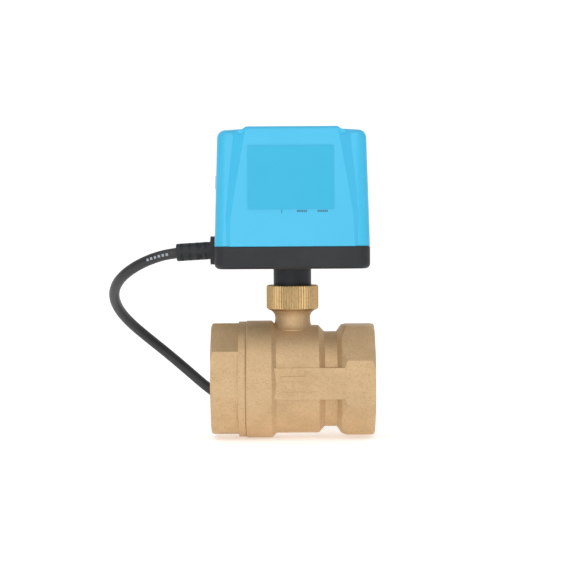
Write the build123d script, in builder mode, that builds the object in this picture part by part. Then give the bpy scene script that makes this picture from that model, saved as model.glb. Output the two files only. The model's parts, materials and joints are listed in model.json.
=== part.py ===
"""Motorised two-way brass ball valve (zone valve) with a plug-on electric actuator and a flying lead.

Millimetres. The origin is the centre of the inlet mouth on the pipe axis, +X runs along the pipe from
inlet to outlet, +Z is up towards the actuator. Rest is the open valve.
"""

from build123d import *
from math import acos, cos, pi, radians, sin, sqrt, tan
import os

os.makedirs("parts", exist_ok=True)

# ---------------------------------------------------------------- driving dimensions
# pipe and casting
body_length = 84.0
stem_x = 42.0
octagon_flats = 56.0
octagon_corner_r = 29.3
cap_turn = 10.0
cap_octagon_end = 14.1
cap_flange_end = 17.6
cap_flange_r = 30.0
collar_end = 31.1
collar_r = 30.4
ball_section_start = 33.4
ball_section_end = 55.3
ball_section_r = 28.0
neckdown_start = 58.3
neckdown_end = 64.6
neckdown_r = 24.7
outlet_octagon_start = 66.9
pad_half_height = 8.0
pad_front = 28.1

# G 1 1/2 female threads, as plain walls at the thread's major radius
thread_r = 23.9
thread_end = 17.0
mouth_chamfer = 0.4
port_r = 16.0
port_start = 20.6

# ball, seats and the space around them
ball_r = 23.5
seat_outer_r = 20.5
seat_inner_r = 16.4
seat_gap = 0.1
seat_back = 17.6
seat_front = 12.8
cavity_r = 24.2
insert_r = 26.4
insert_end = 30.0
seal_width = 2.0

# stem and bonnet
stem_r = 5.0
stem_bore_r = 5.06
stem_collar_r = 6.5
tang_width = 5.0
tang_length = 11.6
tang_bottom = 18.7
square = 7.0
bonnet_top = 44.0
bonnet_thread_r = 11.0
flare_r = 11.5
flare_z = 35.9
waist_r = 9.1
waist_z = 31.7
packing_r = 8.0

# union nut
nut_bottom = 36.1
nut_top = 49.0
nut_r = 13.45
nut_lip_z = 47.1
nut_bore_r = 11.08
knurl_teeth = 60
knurl_depth = 0.42

# neck of the actuator
neck_r = 9.8
neck_bore_r = 6.4
neck_flange_r = 17.0
shaft_r = 4.0
shaft_bore_r = 4.06

# actuator housing
base_bottom = 58.1
split_z = 69.1
shoulder_z = 128.3
cover_top = 129.9
half_width = 39.3
half_depth = 31.0
wall = 2.2
floor_thickness = 2.4
side_draft = 1.6
corner_r = 6.0

# gear train, z levels and modules
floor_z = base_bottom + floor_thickness
plate_z = 80.0
plate_thickness = 1.5
output_teeth = 48
idler_teeth = 40
pinion_teeth = 12
output_module = 0.8
idler_module = 0.6
gear_backlash = 0.14
output_gear_z = 66.0
output_gear_width = 5.0
idler_gear_z = 72.2
idler_gear_width = 2.8
idler_angle = 165.0
motor_angle = -80.0

# lead
cable_r = 2.8
relief_r = 4.58
floor_level = -collar_r
cable_rest_z = floor_level + cable_r


def on_stem(z):
    """Level plane on the stem axis at height z."""
    return Plane(origin=(stem_x, 0, z))


def across(x):
    """Plane square to the pipe at x, its local x along Y and its local y along Z."""
    return Plane.YZ.offset(x)


stem_side = Plane(origin=(stem_x, 0, 0), x_dir=(1, 0, 0), z_dir=(0, -1, 0))
stem_axis = Axis((stem_x, 0, 0), (0, 0, 1))


# ---------------------------------------------------------------- cast body
casting = [
    (cap_flange_end, 0),
    (cap_flange_end, collar_r - 0.8),
    (cap_flange_end + 0.8, collar_r),
    (collar_end, collar_r),
    (ball_section_start, ball_section_r),
    (ball_section_end, ball_section_r),
    (neckdown_start, neckdown_r),
    (neckdown_end, neckdown_r),
    (outlet_octagon_start, octagon_flats / 2 - 0.3),
    (outlet_octagon_start + 3, octagon_flats / 2 - 0.5),
    (outlet_octagon_start + 3, 0),
]
outlet_turning = [
    (neckdown_end, 0),
    (neckdown_end, neckdown_r),
    (outlet_octagon_start, octagon_flats / 2),
    (outlet_octagon_start + 3.0, octagon_corner_r + 1.1),
    (body_length - 1.4, octagon_corner_r + 1.1),
    (body_length, octagon_corner_r - 0.6),
    (body_length, 0),
]
body_hollow = [
    (cap_flange_end - 1, 0),
    (cap_flange_end - 1, insert_r + 0.1),
    (insert_end + seal_width, insert_r + 0.1),
    (insert_end + seal_width, cavity_r),
    (stem_x + 12, cavity_r),
    (stem_x + 12, seat_outer_r + 0.05),
    (stem_x + seat_back, seat_outer_r + 0.05),
    (stem_x + seat_back, port_r),
    (body_length - port_start, port_r),
    (body_length - thread_end, thread_r),
    (body_length - mouth_chamfer, thread_r),
    (body_length, thread_r + mouth_chamfer),
    (body_length + 1, thread_r + mouth_chamfer),
    (body_length + 1, 0),
]
arrow = [(-9.0, 1.1), (3.5, 1.1), (3.5, 3.6), (9.0, 0.0), (3.5, -3.6), (3.5, -1.1), (-9.0, -1.1)]

# outlet octagon: a prism met by the cone of the neck-down and by the chamfer of its mouth
with BuildPart() as outlet_octagon:
    with BuildSketch(across(neckdown_end)):
        RegularPolygon(octagon_flats / 2, 8, major_radius=False, rotation=22.5)
    extrude(amount=body_length - neckdown_end)
    with BuildSketch(Plane.XZ):
        Polygon(*outlet_turning, align=None)
    revolve(axis=Axis.X, mode=Mode.INTERSECT)

with BuildPart() as valve_body:
    with BuildSketch(Plane.XZ):
        Polygon(*casting, align=None)
    revolve(axis=Axis.X)
    add(outlet_octagon.part)
    # marking pads on the front and back, running into the octagon
    for side in (-1, 1):
        with BuildSketch(Plane.XY.offset(-pad_half_height)):
            Polygon(
                (collar_end, 0),
                (collar_end, side * pad_front),
                (outlet_octagon_start + 2, side * pad_front),
                (outlet_octagon_start + 2, 0),
                align=None,
            )
        extrude(amount=2 * pad_half_height)
    # bonnet: foot, waist and flare
    with BuildSketch(stem_side):
        with BuildLine():
            Polyline((0, 20), (11.3, 20), (11.3, 26.2))
            ThreePointArc((11.3, 26.2), (9.8, 27.9), (9.25, 30.0))
            Line((9.25, 30.0), (waist_r, waist_z))
            ThreePointArc((waist_r, waist_z), (9.65, 34.1), (flare_r, flare_z))
            Polyline(
                (flare_r, flare_z),
                (bonnet_thread_r, flare_z),
                (bonnet_thread_r, bonnet_top - 0.6),
                (bonnet_thread_r - 0.6, bonnet_top),
                (0, bonnet_top),
                (0, 20),
            )
        make_face()
    revolve(axis=stem_axis)
    # waterway, seat pocket, cavity and insert thread
    with BuildSketch(Plane.XZ):
        Polygon(*body_hollow, align=None)
    revolve(axis=Axis.X, mode=Mode.SUBTRACT)
    # stem bore, collar recess and packing box
    with BuildSketch(stem_side):
        Polygon(
            (0, 15),
            (stem_collar_r + 0.2, 15),
            (stem_collar_r + 0.2, 27.0),
            (stem_bore_r, 27.0),
            (stem_bore_r, 38.0),
            (packing_r, 38.0),
            (packing_r, bonnet_top + 1),
            (0, bonnet_top + 1),
            align=None,
        )
    revolve(axis=stem_axis, mode=Mode.SUBTRACT)
    # raised flow arrow and size bars on the front pad
    with BuildSketch(Plane.XZ.offset(pad_front)):
        with Locations((45.0, 2.6)):
            Polygon(*arrow, align=None)
        with GridLocations(5.0, 1, 4, 1):
            with Locations((45.0, -4.8)):
                SlotOverall(3.6, 1.3)
    extrude(amount=0.45)
valve_body.part.label = "valve_body"
export_step(valve_body.part, "parts/valve_body.step")

# ---------------------------------------------------------------- inlet end cap, screwed into the body
cap_section = [
    (cap_octagon_end, 0),
    (cap_octagon_end, cap_flange_r),
    (cap_flange_end, cap_flange_r),
    (cap_flange_end, insert_r),
    (insert_end - 0.8, insert_r),
    (insert_end, insert_r - 0.8),
    (insert_end, 0),
]
cap_hollow = [
    (-1, 0),
    (-1, thread_r + mouth_chamfer),
    (0, thread_r + mouth_chamfer),
    (mouth_chamfer, thread_r),
    (thread_end, thread_r),
    (port_start, port_r),
    (stem_x - seat_back, port_r),
    (stem_x - seat_back, seat_outer_r + 0.05),
    (insert_end + 1, seat_outer_r + 0.05),
    (insert_end + 1, 0),
]
with BuildPart() as end_cap:
    with BuildSketch(across(0)):
        RegularPolygon(octagon_flats / 2, 8, major_radius=False, rotation=22.5 - cap_turn)
    extrude(amount=cap_octagon_end + 0.1)
    with BuildSketch(Plane.XZ):
        Polygon(
            (1.4, octagon_corner_r + 2),
            (1.4, octagon_corner_r + 1.1),
            (0, octagon_corner_r - 0.6),
            (-1, octagon_corner_r - 0.6),
            (-1, octagon_corner_r + 2),
            align=None,
        )
    revolve(axis=Axis.X, mode=Mode.SUBTRACT)
    with BuildSketch(Plane.XZ):
        Polygon(*cap_section, align=None)
    revolve(axis=Axis.X)
    with BuildSketch(Plane.XZ):
        Polygon(*cap_hollow, align=None)
    revolve(axis=Axis.X, mode=Mode.SUBTRACT)
end_cap.part.label = "end_cap"
export_step(end_cap.part, "parts/end_cap.step")

# ---------------------------------------------------------------- seal between end cap and body
with BuildPart() as cap_seal:
    with BuildSketch(across(insert_end)):
        Circle(insert_r)
        Circle(cavity_r + 0.1, mode=Mode.SUBTRACT)
    extrude(amount=seal_width)
cap_seal.part.label = "cap_seal"
export_step(cap_seal.part, "parts/cap_seal.step")

# ---------------------------------------------------------------- ball with its port and stem slot
slot_width = tang_width + 0.2
with BuildPart() as ball:
    with Locations((stem_x, 0, 0)):
        Sphere(ball_r)
    with BuildSketch(across(stem_x - ball_r - 1)):
        Circle(port_r)
    extrude(amount=2 * ball_r + 2, mode=Mode.SUBTRACT)
    with BuildSketch(on_stem(tang_bottom - 0.3)):
        Rectangle(slot_width, tang_length + 2.4)
    extrude(amount=8, mode=Mode.SUBTRACT)
ball.part.label = "ball"
export_step(ball.part, "parts/ball.step")

# ---------------------------------------------------------------- seat rings, one each side of the ball
seat_face_r = ball_r + seat_gap
for seat_name, side in (("seat_inlet", -1), ("seat_outlet", 1)):
    seat_corners = [
        (sqrt(seat_face_r**2 - seat_inner_r**2), seat_inner_r),
        (seat_back, seat_inner_r),
        (seat_back, seat_outer_r),
        (seat_front, seat_outer_r),
        (seat_front, sqrt(seat_face_r**2 - seat_front**2)),
    ]
    middle_r = (seat_inner_r + seat_corners[-1][1]) / 2
    seat_middle = (sqrt(seat_face_r**2 - middle_r**2), middle_r)
    seat_corners = [(stem_x + side * along, radius) for along, radius in seat_corners]
    seat_middle = (stem_x + side * seat_middle[0], seat_middle[1])
    with BuildPart() as seat:
        with BuildSketch(Plane.XZ):
            with BuildLine():
                Polyline(*seat_corners)
                ThreePointArc(seat_corners[-1], seat_middle, seat_corners[0])
            make_face()
        revolve(axis=Axis.X)
    seat.part.label = seat_name
    export_step(seat.part, f"parts/{seat_name}.step")

# ---------------------------------------------------------------- stem: tang, collar, shank, square
collar_low = tang_bottom + 5.3
collar_high = collar_low + 2.1
oring_levels = (31.0, 35.0)
oring_groove_r = 3.5
oring_section_r = 0.75
with BuildPart() as stem:
    with BuildSketch(on_stem(tang_bottom)):
        Rectangle(tang_width, tang_length)
    extrude(amount=collar_low - tang_bottom)
    with BuildSketch(on_stem(collar_low)):
        Circle(stem_collar_r)
    extrude(amount=collar_high - collar_low)
    with BuildSketch(on_stem(collar_high)):
        Circle(stem_r)
    extrude(amount=46.0 - collar_high)
    with BuildSketch(on_stem(46.0)):
        Rectangle(square, square)
    extrude(amount=8.0)
    for level in oring_levels:
        with BuildSketch(on_stem(level - 0.85)):
            Circle(stem_r + 1)
            Circle(oring_groove_r, mode=Mode.SUBTRACT)
        extrude(amount=1.7, mode=Mode.SUBTRACT)
stem.part.label = "stem"
export_step(stem.part, "parts/stem.step")

with BuildPart() as stem_orings:
    for level in oring_levels:
        with BuildSketch(stem_side):
            with Locations((oring_groove_r + oring_section_r + 0.01, level)):
                Circle(oring_section_r)
        revolve(axis=stem_axis)
stem_orings.part.label = "stem_orings"
export_step(stem_orings.part, "parts/stem_orings.step")

# ---------------------------------------------------------------- rings around the stem
with BuildPart() as thrust_washer:
    with BuildSketch(on_stem(26.2)):
        Circle(stem_collar_r + 0.1)
        Circle(stem_r + 0.08, mode=Mode.SUBTRACT)
    extrude(amount=0.8)
thrust_washer.part.label = "thrust_washer"
export_step(thrust_washer.part, "parts/thrust_washer.step")

with BuildPart() as stem_packing:
    with BuildSketch(on_stem(38.0)):
        Circle(packing_r - 0.05)
        Circle(stem_r + 0.04, mode=Mode.SUBTRACT)
    extrude(amount=3.2)
stem_packing.part.label = "stem_packing"
export_step(stem_packing.part, "parts/stem_packing.step")

with BuildPart() as gland_nut:
    with BuildSketch(on_stem(41.2)):
        Circle(packing_r - 0.02)
        Circle(stem_r + 0.1, mode=Mode.SUBTRACT)
    extrude(amount=2.6)
    with BuildSketch(on_stem(42.8)):
        Rectangle(2 * packing_r + 1, 2.0)
    extrude(amount=2.0, mode=Mode.SUBTRACT)
gland_nut.part.label = "gland_nut"
export_step(gland_nut.part, "parts/gland_nut.step")

# ================================================================ coupling
# ---------------------------------------------------------------- knurled union nut
knurl = []
for tooth in range(knurl_teeth):
    crest = 2 * pi * tooth / knurl_teeth
    root = 2 * pi * (tooth + 0.5) / knurl_teeth
    knurl.append((nut_r * cos(crest), nut_r * sin(crest)))
    knurl.append(((nut_r - knurl_depth) * cos(root), (nut_r - knurl_depth) * sin(root)))
nut_trim = 1.0
with BuildPart() as union_nut:
    with BuildSketch(on_stem(nut_bottom)):
        Polygon(*knurl, align=None)
    extrude(amount=nut_top - nut_bottom)
    # rounded ends
    with BuildSketch(stem_side):
        with BuildLine():
            Polyline(
                (0, nut_bottom),
                (nut_r - nut_trim, nut_bottom),
                (nut_r, nut_bottom + nut_trim),
                (nut_r, nut_top - nut_trim),
            )
            ThreePointArc(
                (nut_r, nut_top - nut_trim),
                (nut_r - 0.29 * nut_trim, nut_top - 0.29 * nut_trim),
                (nut_r - nut_trim, nut_top),
            )
            Polyline((nut_r - nut_trim, nut_top), (0, nut_top), (0, nut_bottom))
        make_face()
    revolve(axis=stem_axis, mode=Mode.INTERSECT)
    with BuildSketch(on_stem(nut_bottom)):
        Circle(nut_bore_r)
    extrude(amount=nut_lip_z - nut_bottom, mode=Mode.SUBTRACT)
    with BuildSketch(on_stem(nut_lip_z)):
        Circle(neck_r + 0.15)
    extrude(amount=4, mode=Mode.SUBTRACT)
union_nut.part.label = "union_nut"
export_step(union_nut.part, "parts/union_nut.step")

# ---------------------------------------------------------------- what the nut's lip pulls on
ring_z = bonnet_top + 1.0
ring_groove_r = 9.0
with BuildPart() as retaining_ring:
    with BuildSketch(on_stem(ring_z)):
        Circle(10.7)
        Circle(ring_groove_r + 0.02, mode=Mode.SUBTRACT)
        with Locations((0, 10)):
            Rectangle(7, 10, mode=Mode.SUBTRACT)
    extrude(amount=1.0)
retaining_ring.part.label = "retaining_ring"
export_step(retaining_ring.part, "parts/retaining_ring.step")

with BuildPart() as slip_washer:
    with BuildSketch(on_stem(ring_z + 1.15)):
        Circle(10.85)
        Circle(neck_r + 0.1, mode=Mode.SUBTRACT)
    extrude(amount=0.8)
slip_washer.part.label = "slip_washer"
export_step(slip_washer.part, "parts/slip_washer.step")

# ---------------------------------------------------------------- neck of the actuator
neck_flange_top = floor_z + 2.5
neck_screw_r = 13.6
with BuildPart() as neck_adapter:
    with BuildSketch(on_stem(bonnet_top)):
        Circle(neck_r)
    extrude(amount=floor_z - bonnet_top)
    with BuildSketch(on_stem(floor_z)):
        Circle(neck_flange_r)
        with PolarLocations(neck_screw_r, 4, start_angle=45):
            Circle(1.25, mode=Mode.SUBTRACT)
    extrude(amount=neck_flange_top - floor_z)
    with BuildSketch(on_stem(bonnet_top)):
        Circle(neck_bore_r)
    extrude(amount=neck_flange_top - bonnet_top, mode=Mode.SUBTRACT)
    with BuildSketch(on_stem(ring_z - 0.05)):
        Circle(neck_r + 1)
        Circle(ring_groove_r, mode=Mode.SUBTRACT)
    extrude(amount=1.1, mode=Mode.SUBTRACT)
neck_adapter.part.label = "neck_adapter"
export_step(neck_adapter.part, "parts/neck_adapter.step")

with BuildPart() as neck_screws:
    with BuildSketch(on_stem(base_bottom + 0.4)):
        with PolarLocations(neck_screw_r, 4, start_angle=45):
            Circle(1.2)
    extrude(amount=neck_flange_top - base_bottom - 0.4)
    with BuildSketch(on_stem(neck_flange_top)):
        with PolarLocations(neck_screw_r, 4, start_angle=45):
            Circle(2.2)
    extrude(amount=1.4)
neck_screws.part.label = "neck_screws"
export_step(neck_screws.part, "parts/neck_screws.step")

with BuildPart() as lower_bush:
    with BuildSketch(on_stem(57.0)):
        Circle(neck_bore_r - 0.02)
        Circle(shaft_bore_r, mode=Mode.SUBTRACT)
    extrude(amount=neck_flange_top - 57.0)
lower_bush.part.label = "lower_bush"
export_step(lower_bush.part, "parts/lower_bush.step")

# ================================================================ drive
# ---------------------------------------------------------------- drive shaft with its square socket
flat_depth = 0.6
with BuildPart() as drive_shaft:
    with BuildSketch(on_stem(46.6)):
        Circle(neck_bore_r - 0.2)
    extrude(amount=9.8)
    with BuildSketch(on_stem(56.4)):
        Circle(shaft_r)
    extrude(amount=28.0)
    with BuildSketch(on_stem(46.6)):
        Rectangle(square + 0.2, square + 0.2)
    extrude(amount=8.4, mode=Mode.SUBTRACT)
    # one flat drives the gear and the cam
    with BuildSketch(on_stem(output_gear_z)):
        with Locations((shaft_r, 0)):
            Rectangle(2 * flat_depth, 2 * shaft_r)
    extrude(amount=79.6 - output_gear_z, mode=Mode.SUBTRACT)
drive_shaft.part.label = "drive_shaft"
export_step(drive_shaft.part, "parts/drive_shaft.step")


# ---------------------------------------------------------------- gears
def gear_outline(teeth, module, turn):
    """Corners of a spur gear with stub involute teeth, one tooth centred on the angle turn, in degrees."""
    pitch_r = teeth * module / 2
    base_r = pitch_r * cos(radians(20))
    tip_r = pitch_r + 0.8 * module
    root_r = pitch_r - 1.05 * module
    involute_20 = tan(radians(20)) - radians(20)
    half_tooth = pi / (2 * teeth) - gear_backlash / (4 * pitch_r)

    def half_angle(r):
        """Half the angle that the tooth fills at radius r."""
        pressure = acos(min(1.0, base_r / r))
        return half_tooth + involute_20 - (tan(pressure) - pressure)

    start_r = max(base_r, root_r + 0.05)
    radii = [start_r + (tip_r - start_r) * step / 3 for step in range(4)]
    flank = [(root_r, half_angle(start_r) + 0.02)] + [(r, half_angle(r)) for r in radii]
    corners = []
    for tooth in range(teeth):
        middle = radians(turn) + 2 * pi * tooth / teeth
        rising = [(r, middle - angle) for r, angle in flank]
        falling = [(r, middle + angle) for r, angle in reversed(flank)]
        corners += [(r * cos(angle), r * sin(angle)) for r, angle in rising + falling]
    return corners


def polar_point(centre, distance, angle):
    """Point at a distance and an angle, in degrees, from a centre."""
    return (centre[0] + distance * cos(radians(angle)), centre[1] + distance * sin(radians(angle)))


idler_distance = output_module * (output_teeth + pinion_teeth) / 2
motor_distance = idler_module * (idler_teeth + pinion_teeth) / 2
idler_centre = polar_point((stem_x, 0), idler_distance, idler_angle)
pinion_centre = polar_point(idler_centre, motor_distance, motor_angle)
half_pitch = 180 / pinion_teeth

with BuildPart() as output_gear:
    with BuildSketch(on_stem(output_gear_z)):
        Polygon(*gear_outline(output_teeth, output_module, idler_angle), align=None)
        with BuildSketch(mode=Mode.PRIVATE) as gear_hole:
            Circle(shaft_r)
            with Locations((shaft_r, 0)):
                Rectangle(2 * flat_depth, 2 * shaft_r, mode=Mode.SUBTRACT)
        add(gear_hole.sketch, mode=Mode.SUBTRACT)
        with PolarLocations(11.5, 5, start_angle=90):
            Circle(3.4, mode=Mode.SUBTRACT)
    extrude(amount=output_gear_width)
output_gear.part.label = "output_gear"
export_step(output_gear.part, "parts/output_gear.step")

idler_bore_r = 1.55
with BuildPart() as idler_gear:
    with BuildSketch(Plane.XY.offset(output_gear_z)):
        with Locations(idler_centre):
            Polygon(
                *gear_outline(pinion_teeth, output_module, idler_angle + 180 + half_pitch),
                align=None,
            )
    extrude(amount=idler_gear_z - output_gear_z)
    with BuildSketch(Plane.XY.offset(idler_gear_z)):
        with Locations(idler_centre):
            Polygon(*gear_outline(idler_teeth, idler_module, motor_angle), align=None)
    extrude(amount=idler_gear_width)
    with BuildSketch(Plane.XY.offset(output_gear_z)):
        with Locations(idler_centre):
            Circle(idler_bore_r)
    extrude(amount=idler_gear_z + idler_gear_width - output_gear_z, mode=Mode.SUBTRACT)
idler_gear.part.label = "idler_gear"
export_step(idler_gear.part, "parts/idler_gear.step")

with BuildPart() as idler_pin:
    with BuildSketch(Plane.XY.offset(floor_z)):
        with Locations(idler_centre):
            Circle(idler_bore_r - 0.05)
    extrude(amount=plate_z + plate_thickness - floor_z)
    with BuildSketch(Plane.XY.offset(floor_z)):
        with Locations(idler_centre):
            Circle(2.6)
    extrude(amount=output_gear_z - floor_z - 0.3)
idler_pin.part.label = "idler_pin"
export_step(idler_pin.part, "parts/idler_pin.step")

motor_shaft_r = 2.0
with BuildPart() as motor_pinion:
    with BuildSketch(Plane.XY.offset(idler_gear_z - 0.3)):
        with Locations(pinion_centre):
            Polygon(
                *gear_outline(pinion_teeth, idler_module, motor_angle + 180 + half_pitch),
                align=None,
            )
    extrude(amount=idler_gear_width + 0.6)
    with BuildSketch(Plane.XY.offset(idler_gear_z + idler_gear_width + 0.3)):
        with Locations(pinion_centre):
            Circle(motor_shaft_r)
    extrude(amount=10.0)
motor_pinion.part.label = "motor_pinion"
export_step(motor_pinion.part, "parts/motor_pinion.step")

# ---------------------------------------------------------------- limit cam on the drive shaft
cam_z = 76.2
cam_r = 9.6
lobe_r = 11.3
with BuildPart() as cam:
    with BuildSketch(on_stem(cam_z)):
        Circle(cam_r)
        # the lobe faces the open switch, on the front, when the valve is open
        with Locations((0, -cam_r + 1)):
            SlotOverall(9.0, 2 * (lobe_r - cam_r + 1))
        add(gear_hole.sketch, mode=Mode.SUBTRACT)
    extrude(amount=3.0)
cam.part.label = "cam"
export_step(cam.part, "parts/cam.step")

# ---------------------------------------------------------------- limit switches and their plungers
switch_length = 19.8
switch_depth = 10.2
switch_height = 6.3
switch_near = 13.4
switch_screw_r = 1.1
plunger_size = 2.0
plunger_tip = 11.9
plunger_pocket = 3.2
switch_low = plate_z - switch_height
switch_screw_spacing = 9.5
switches = (("open_switch", "open_plunger", -90), ("closed_switch", "closed_plunger", 0))


def switch_plane(z, facing):
    """Level plane on the stem axis, its local x pointing out towards a switch."""
    direction = (cos(radians(facing)), sin(radians(facing)), 0)
    return Plane(origin=(stem_x, 0, z), x_dir=direction, z_dir=(0, 0, 1))


body_shift = switch_length / 2 - 6.0
for switch_name, plunger_name, facing in switches:
    # the plunger isn't at the middle of the case
    with BuildPart() as switch:
        with BuildSketch(switch_plane(switch_low, facing)):
            with Locations((switch_near + switch_depth / 2, body_shift)):
                Rectangle(switch_depth, switch_length)
            with Locations((switch_near + switch_depth - 2.8, body_shift)):
                with GridLocations(1, switch_screw_spacing, 1, 2):
                    Circle(switch_screw_r + 0.05, mode=Mode.SUBTRACT)
        extrude(amount=switch_height)
        with BuildSketch(switch_plane(cam_z + 0.4, facing)):
            with Locations((switch_near + plunger_pocket / 2, 0)):
                Rectangle(plunger_pocket, plunger_size + 0.16)
        extrude(amount=plunger_size + 0.16, mode=Mode.SUBTRACT)
        # solder tags at the back
        with BuildSketch(switch_plane(switch_low + 2.8, facing)):
            with Locations((switch_near + switch_depth + 1.6, body_shift)):
                with GridLocations(1, 7.0, 1, 3):
                    Rectangle(3.2, 2.2)
        extrude(amount=0.5)
    switch.part.label = switch_name
    export_step(switch.part, f"parts/{switch_name}.step")

    with BuildPart() as plunger:
        with BuildSketch(switch_plane(cam_z + 0.48, facing)):
            with Locations(((plunger_tip + switch_near + 2.2) / 2, 0)):
                Rectangle(switch_near + 2.2 - plunger_tip, plunger_size)
        extrude(amount=plunger_size)
        near_face = plunger.faces().sort_by(Axis((stem_x, 0, 0), (cos(radians(facing)), sin(radians(facing)), 0)))[0]
        fillet(near_face.edges().filter_by(Axis.Z), 0.7)
    plunger.part.label = plunger_name
    export_step(plunger.part, f"parts/{plunger_name}.step")

with BuildPart() as switch_screws:
    for switch_name, plunger_name, facing in switches:
        with BuildSketch(switch_plane(switch_low, facing)):
            with Locations((switch_near + switch_depth - 2.8, body_shift)):
                with GridLocations(1, switch_screw_spacing, 1, 2):
                    Circle(switch_screw_r)
        extrude(amount=switch_height + plate_thickness)
        with BuildSketch(switch_plane(switch_low - 1.2, facing)):
            with Locations((switch_near + switch_depth - 2.8, body_shift)):
                with GridLocations(1, switch_screw_spacing, 1, 2):
                    Circle(2.0)
        extrude(amount=1.2)
switch_screws.part.label = "switch_screws"
export_step(switch_screws.part, "parts/switch_screws.step")

# ---------------------------------------------------------------- motor plate and what carries it
plate_half_x = 28.4
plate_half_y = 25.0
pillar_x = 25.5
pillar_y = 22.0
pillar_r = 2.2
motor_r = 24.5
motor_height = 21.0
motor_centre = (stem_x - 9.5, 0)
motor_screw_points = [polar_point(motor_centre, 16, angle) for angle in (75, 265)]
plate_top = plate_z + plate_thickness

with BuildPart() as motor_plate:
    with BuildSketch(on_stem(plate_z)):
        RectangleRounded(2 * plate_half_x, 2 * plate_half_y, 2)
        Circle(6.0, mode=Mode.SUBTRACT)
        with GridLocations(2 * pillar_x, 2 * pillar_y, 2, 2):
            Circle(1.3, mode=Mode.SUBTRACT)
    extrude(amount=plate_thickness)
    with BuildSketch(Plane.XY.offset(plate_z)):
        with Locations(pinion_centre):
            Circle(3.5)
        with Locations(idler_centre):
            Circle(idler_bore_r)
        with Locations(*motor_screw_points):
            Circle(1.6)
    extrude(amount=plate_thickness, mode=Mode.SUBTRACT)
    for switch_name, plunger_name, facing in switches:
        with BuildSketch(switch_plane(plate_z, facing)):
            with Locations((switch_near + switch_depth - 2.8, body_shift)):
                with GridLocations(1, switch_screw_spacing, 1, 2):
                    Circle(switch_screw_r + 0.02)
        extrude(amount=plate_thickness, mode=Mode.SUBTRACT)
motor_plate.part.label = "motor_plate"
export_step(motor_plate.part, "parts/motor_plate.step")

with BuildPart() as upper_bush:
    with BuildSketch(on_stem(plate_z)):
        Circle(5.95)
        Circle(shaft_bore_r, mode=Mode.SUBTRACT)
    extrude(amount=4.0)
upper_bush.part.label = "upper_bush"
export_step(upper_bush.part, "parts/upper_bush.step")

with BuildPart() as plate_standoffs:
    with BuildSketch(on_stem(floor_z)):
        with GridLocations(2 * pillar_x, 2 * pillar_y, 2, 2):
            RegularPolygon(pillar_r, 6)
    extrude(amount=plate_z - floor_z)
plate_standoffs.part.label = "plate_standoffs"
export_step(plate_standoffs.part, "parts/plate_standoffs.step")

with BuildPart() as motor_can:
    with BuildSketch(Plane.XY.offset(plate_top)):
        with Locations(motor_centre):
            Circle(motor_r)
    extrude(amount=motor_height)
    fillet(motor_can.edges().filter_by(GeomType.CIRCLE).sort_by(Axis.Z)[-1], 1.2)
    # bearing hole for the pinion's shaft, blind
    with BuildSketch(Plane.XY.offset(plate_top)):
        with Locations(pinion_centre):
            Circle(motor_shaft_r + 0.06)
    extrude(amount=6.0, mode=Mode.SUBTRACT)
    # clearance for the drive shaft's end
    with BuildSketch(on_stem(plate_top)):
        Circle(7.0)
    extrude(amount=4.5, mode=Mode.SUBTRACT)
    # tapped holes
    with BuildSketch(Plane.XY.offset(plate_top)):
        with Locations(*motor_screw_points):
            Circle(1.55)
    extrude(amount=5.0, mode=Mode.SUBTRACT)
motor_can.part.label = "motor_can"
export_step(motor_can.part, "parts/motor_can.step")

with BuildPart() as motor_screws:
    with BuildSketch(Plane.XY.offset(plate_z)):
        with Locations(*motor_screw_points):
            Circle(1.5)
    extrude(amount=plate_thickness + 4.5)
    with BuildSketch(Plane.XY.offset(plate_z - 1.5)):
        with Locations(*motor_screw_points):
            Circle(2.4)
    extrude(amount=1.5)
motor_screws.part.label = "motor_screws"
export_step(motor_screws.part, "parts/motor_screws.step")

# ================================================================ electrics
board_z = 107.0
board_thickness = 1.6
board_half_x = 28.0
board_half_y = 23.6
with BuildPart() as board_pillars:
    with BuildSketch(on_stem(plate_top)):
        with GridLocations(2 * pillar_x, 2 * pillar_y, 2, 2):
            RegularPolygon(pillar_r, 6)
    extrude(amount=board_z - plate_top)
board_pillars.part.label = "board_pillars"
export_step(board_pillars.part, "parts/board_pillars.step")

with BuildPart() as circuit_board:
    with BuildSketch(on_stem(board_z)):
        RectangleRounded(2 * board_half_x, 2 * board_half_y, 1.5)
        with GridLocations(2 * pillar_x, 2 * pillar_y, 2, 2):
            Circle(1.3, mode=Mode.SUBTRACT)
    extrude(amount=board_thickness)
circuit_board.part.label = "circuit_board"
export_step(circuit_board.part, "parts/circuit_board.step")

with BuildPart() as board_screws:
    with BuildSketch(on_stem(board_z)):
        with GridLocations(2 * pillar_x, 2 * pillar_y, 2, 2):
            Circle(1.2)
    extrude(amount=board_thickness)
    with BuildSketch(on_stem(board_z + board_thickness)):
        with GridLocations(2 * pillar_x, 2 * pillar_y, 2, 2):
            Circle(2.2)
    extrude(amount=1.4)
board_screws.part.label = "board_screws"
export_step(board_screws.part, "parts/board_screws.step")

board_top = board_z + board_thickness
with BuildPart() as capacitor:
    with BuildSketch(on_stem(board_top)):
        with Locations((6, 6)):
            Rectangle(26.0, 11.0)
    extrude(amount=14.0)
    fillet(capacitor.edges().filter_by(Axis.Z), 0.8)
capacitor.part.label = "capacitor"
export_step(capacitor.part, "parts/capacitor.step")

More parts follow.
